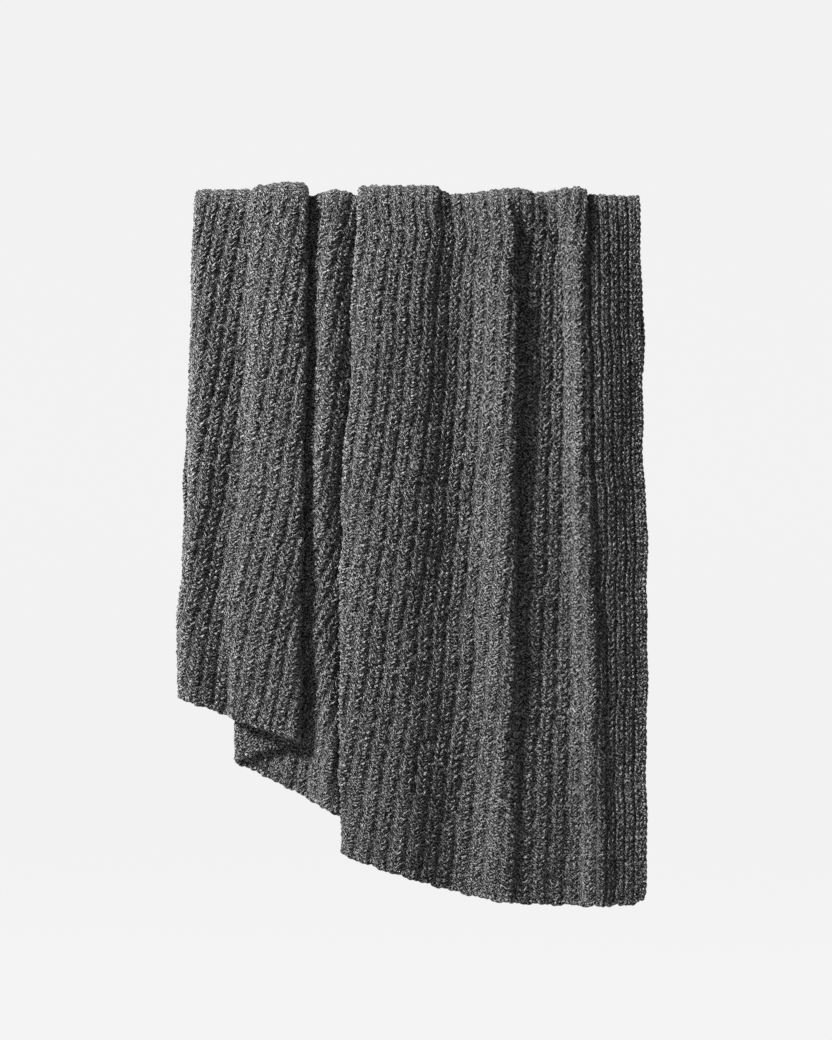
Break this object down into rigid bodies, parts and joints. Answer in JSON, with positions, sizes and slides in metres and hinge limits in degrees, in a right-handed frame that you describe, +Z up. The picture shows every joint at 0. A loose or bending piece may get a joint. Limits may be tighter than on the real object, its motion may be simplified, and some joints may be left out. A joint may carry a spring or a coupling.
{
  "type": "knitted throw blanket",
  "caption": "Chunky waffle-knit throw with ribbed borders, draped in loose pleats over a round rail, one long fall in front and a shorter one behind.",
  "frame": {"origin": "on the axis of the rail that the throw hangs over, halfway along the cloth", "axes": "+X along the rail, the long front fall on the -Y side, +Z up"},
  "size_m": [0.7741, 0.0908, 1.1921],
  "materials": {
    "field_yarn": "matt chenille, waffle knit",
    "rib_yarn": "matt chenille, ribbed",
    "edge_yarn": "matt chenille, chained edge",
    "label_satin": "satin tape, blank",
    "label_thread": "sewing thread"
  },
  "bodies": {
    "root": {"field_knit": "field_yarn", "side_border_left": "rib_yarn", "side_border_right": "rib_yarn", "end_border_front": "rib_yarn", "end_border_back": "rib_yarn", "cast_on_edge": "edge_yarn", "bind_off_edge": "edge_yarn", "selvedge_chain_left": "edge_yarn", "selvedge_chain_right": "edge_yarn", "care_label": "label_satin", "label_stitches": "label_thread"}
  },
  "joints": []
}
